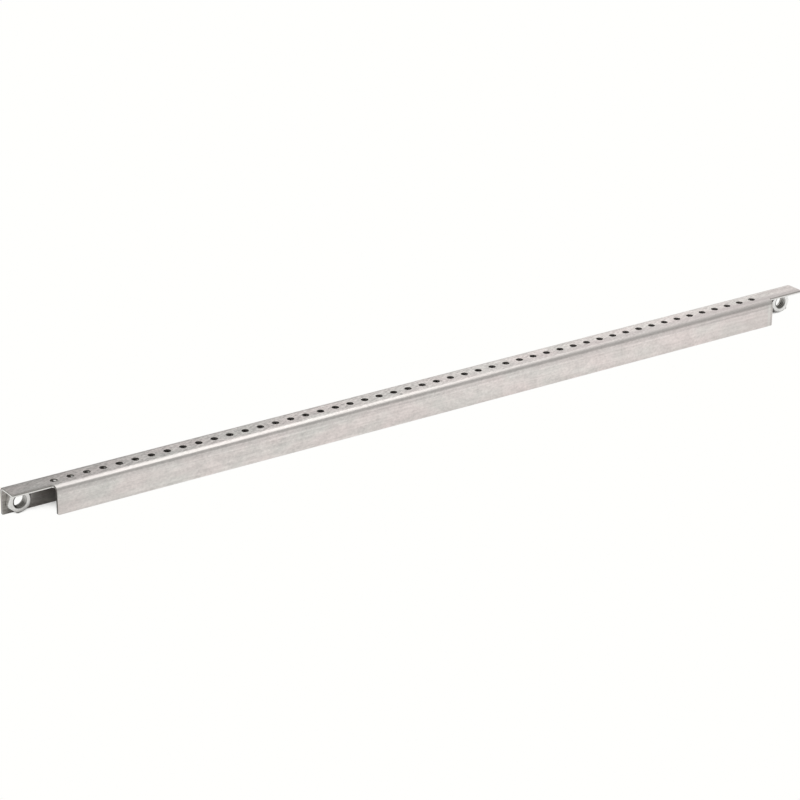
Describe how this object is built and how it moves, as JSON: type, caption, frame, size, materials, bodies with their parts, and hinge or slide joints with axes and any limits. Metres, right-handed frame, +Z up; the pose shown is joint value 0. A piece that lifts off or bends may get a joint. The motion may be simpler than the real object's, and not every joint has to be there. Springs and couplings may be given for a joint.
{
  "type": "mounting rail",
  "caption": "Folded sheet-steel channel rail with a row of round holes along its web, notched ends and a hexagon nut inside the back flange at each end.",
  "frame": {"origin": "centre of the rail's outline, on the plane of the flange edges that it rests on", "axes": "+X along the rail, from the end with the shorter notch to the end with the longer one; +Y towards the back flange, which carries the nuts; +Z up, towards the web"},
  "size_m": [0.6924, 0.023, 0.0205],
  "materials": {
    "rail_sheet": "zinc-coated sheet, satin, faint rolling streaks",
    "nut_steel": "bright zinc-plated, turned faces"
  },
  "bodies": {
    "root": {"rail": "rail_sheet", "nut_left": "nut_steel", "nut_right": "nut_steel"}
  },
  "joints": []
}
